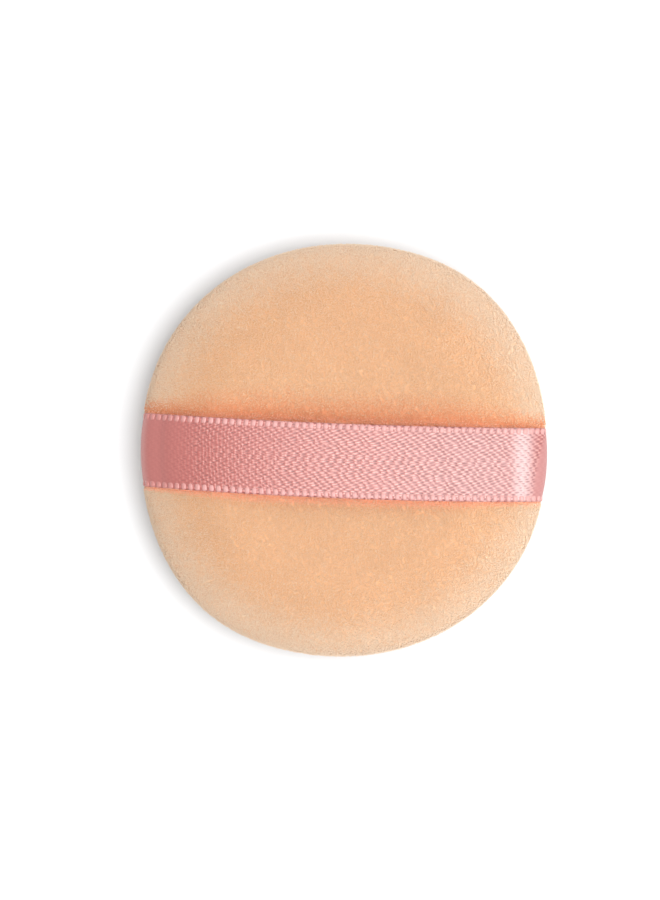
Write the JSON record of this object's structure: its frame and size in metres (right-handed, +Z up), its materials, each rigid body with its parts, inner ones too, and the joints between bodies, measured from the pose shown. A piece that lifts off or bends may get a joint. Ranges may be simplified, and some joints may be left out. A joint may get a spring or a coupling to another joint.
{
  "type": "powder puff",
  "caption": "Round crowned velour pad for face powder, seamed at the rim over a foam disc, with a slack satin ribbon across its back for the fingers",
  "frame": {"origin": "Centre of the puff's outline, on the surface that it lies on", "axes": "+Z up, out of the side with the ribbon; X along the ribbon; Y across it, in the plane of the pad"},
  "size_m": [0.055, 0.0558, 0.0107],
  "materials": {
    "foam": "open-cell foam, matt",
    "velour": "short dense pile, matt with a pale rim",
    "satin_ribbon": "satin weave, soft sheen",
    "sewing_thread": "twisted thread, matt"
  },
  "bodies": {
    "root": {"foam_core": "foam", "back_cover": "velour", "front_cover": "velour", "ribbon_strap": "satin_ribbon", "needle_thread": "sewing_thread", "bobbin_thread": "sewing_thread", "closing_thread": "sewing_thread"}
  },
  "joints": []
}
